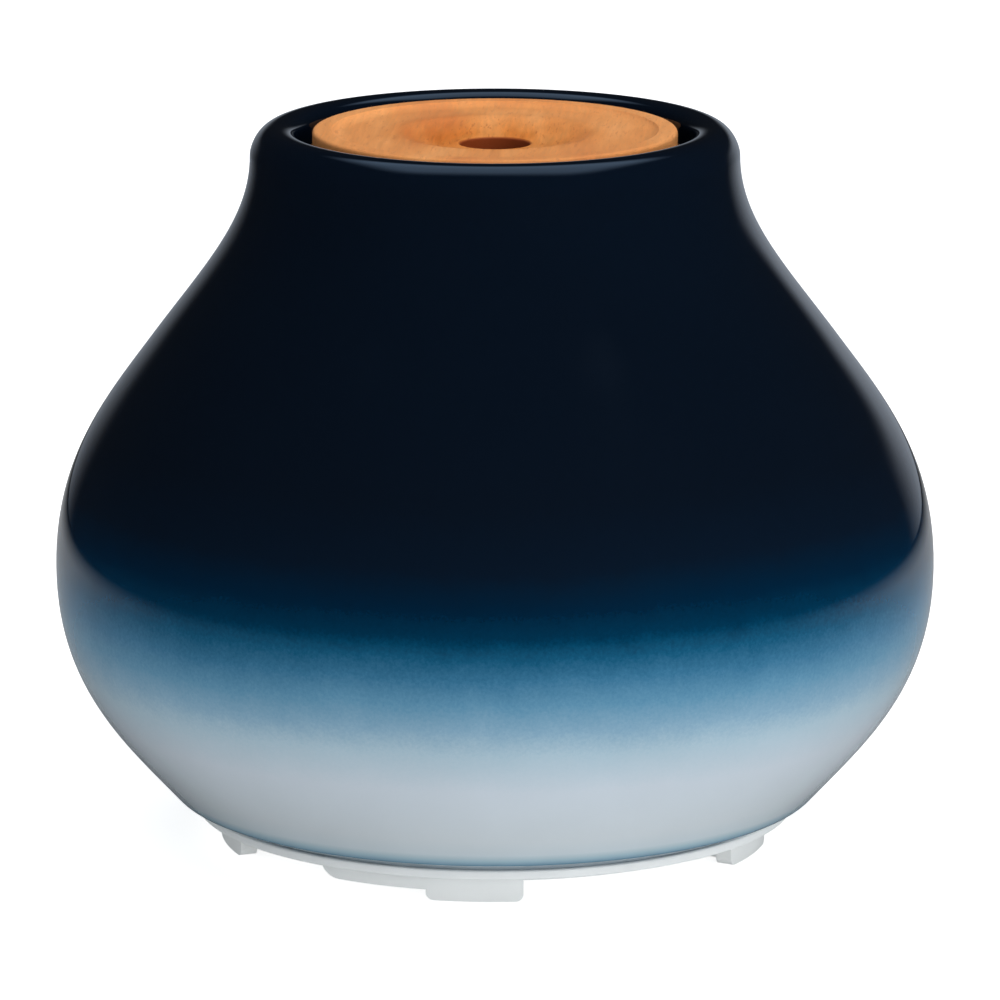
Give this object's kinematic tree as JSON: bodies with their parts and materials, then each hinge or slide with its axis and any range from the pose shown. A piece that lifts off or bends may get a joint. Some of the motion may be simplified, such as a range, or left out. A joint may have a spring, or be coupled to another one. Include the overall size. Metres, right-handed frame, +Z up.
{
  "type": "ultrasonic aroma diffuser",
  "caption": "Round ceramic-covered ultrasonic aroma diffuser: lift-off ombre cover, dished wooden lid with mist hole, water tank, fan and base with two buttons.",
  "frame": {"origin": "on the surface that the diffuser stands on, under the middle of the cover", "axes": "+Z up; the front is -Y; the power inlet, the cord's way out and the two buttons are at +Y"},
  "size_m": [0.17, 0.17, 0.1395],
  "materials": {
    "glaze": "clear gloss glaze, near-black navy fading through blue to bluish white at the foot",
    "wood": "turned light hardwood, fine grain, satin",
    "white_plastic": "moulded, fine satin",
    "frosted_plastic": "frosted white, slightly translucent",
    "silicone": "soft grey silicone",
    "pad_rubber": "matt grey",
    "steel": "bright zinc",
    "brass": "silvered face on a brass disc",
    "aluminium": "matt",
    "board": "green circuit board",
    "black_plastic": "moulded satin black",
    "copper": "enamelled copper wire",
    "lamp": "white lamp board"
  },
  "bodies": {
    "base": {"base_housing": "white_plastic", "bottom_cover": "white_plastic", "cover_cushion": "silicone", "foot_pad_1": "pad_rubber", "foot_pad_2": "pad_rubber", "foot_pad_3": "pad_rubber", "foot_pad_4": "pad_rubber", "foot_pad_5": "pad_rubber", "housing_screw_1": "steel", "housing_screw_2": "steel", "housing_screw_3": "steel", "housing_screw_4": "steel", "housing_screw_5": "steel", "water_tank": "frosted_plastic", "ultrasonic_disc": "brass", "disc_seal": "silicone", "disc_clamp": "aluminium", "clamp_screw_1": "steel", "clamp_screw_2": "steel", "fan_frame": "black_plastic", "air_shroud": "white_plastic", "main_board": "board", "board_screw_1": "steel", "board_screw_2": "steel", "board_screw_3": "steel", "board_screw_4": "steel", "dc_jack": "black_plastic", "choke_coil": "copper", "filter_capacitor": "aluminium", "driver_heat_sink": "aluminium", "led_board": "lamp", "fan_lead": "black_plastic", "disc_lead": "black_plastic", "mist_tray": "white_plastic", "mist_switch_board": "board", "mist_switch": "steel", "light_tray": "white_plastic", "light_switch_board": "board", "light_switch": "steel"},
    "cover": {"glazed_cover": "glaze"},
    "lid": {"wooden_lid": "wood", "lid_gasket": "silicone", "lid_spigot": "white_plastic", "lid_screw_1": "steel", "lid_screw_2": "steel", "lid_screw_3": "steel"},
    "hood": {"mist_hood": "frosted_plastic", "splash_baffle": "white_plastic"},
    "rotor": {"fan_rotor": "black_plastic"},
    "mist_key": {"mist_button": "white_plastic"},
    "light_key": {"light_button": "white_plastic"}
  },
  "joints": [
    {"name": "cover_lift", "type": "slide", "parent": "base", "child": "cover", "axis": [0, 0, 1], "range_m": [0, 0.13]},
    {"name": "lid_lift", "type": "slide", "parent": "cover", "child": "lid", "axis": [0, 0, 1], "range_m": [0, 0.03]},
    {"name": "hood_lift", "type": "slide", "parent": "base", "child": "hood", "axis": [0, 0, 1], "range_m": [0, 0.026]},
    {"name": "fan_spin", "type": "hinge", "parent": "base", "child": "rotor", "pos_m": [-0.00654, -0.02723, 0.0088], "axis": [0, 0, 1], "continuous": true},
    {"name": "mist_press", "type": "slide", "parent": "base", "child": "mist_key", "axis": [0, 0, -1], "range_m": [0, 0.0005], "stiffness_N_per_m": 400, "springref_m": -0.001},
    {"name": "light_press", "type": "slide", "parent": "base", "child": "light_key", "axis": [0, 0, -1], "range_m": [0, 0.0005], "stiffness_N_per_m": 400, "springref_m": -0.001}
  ],
  "couplings": [
    {"joint": "hood_lift", "follows": "cover_lift", "ratio": 0.2}
  ]
}
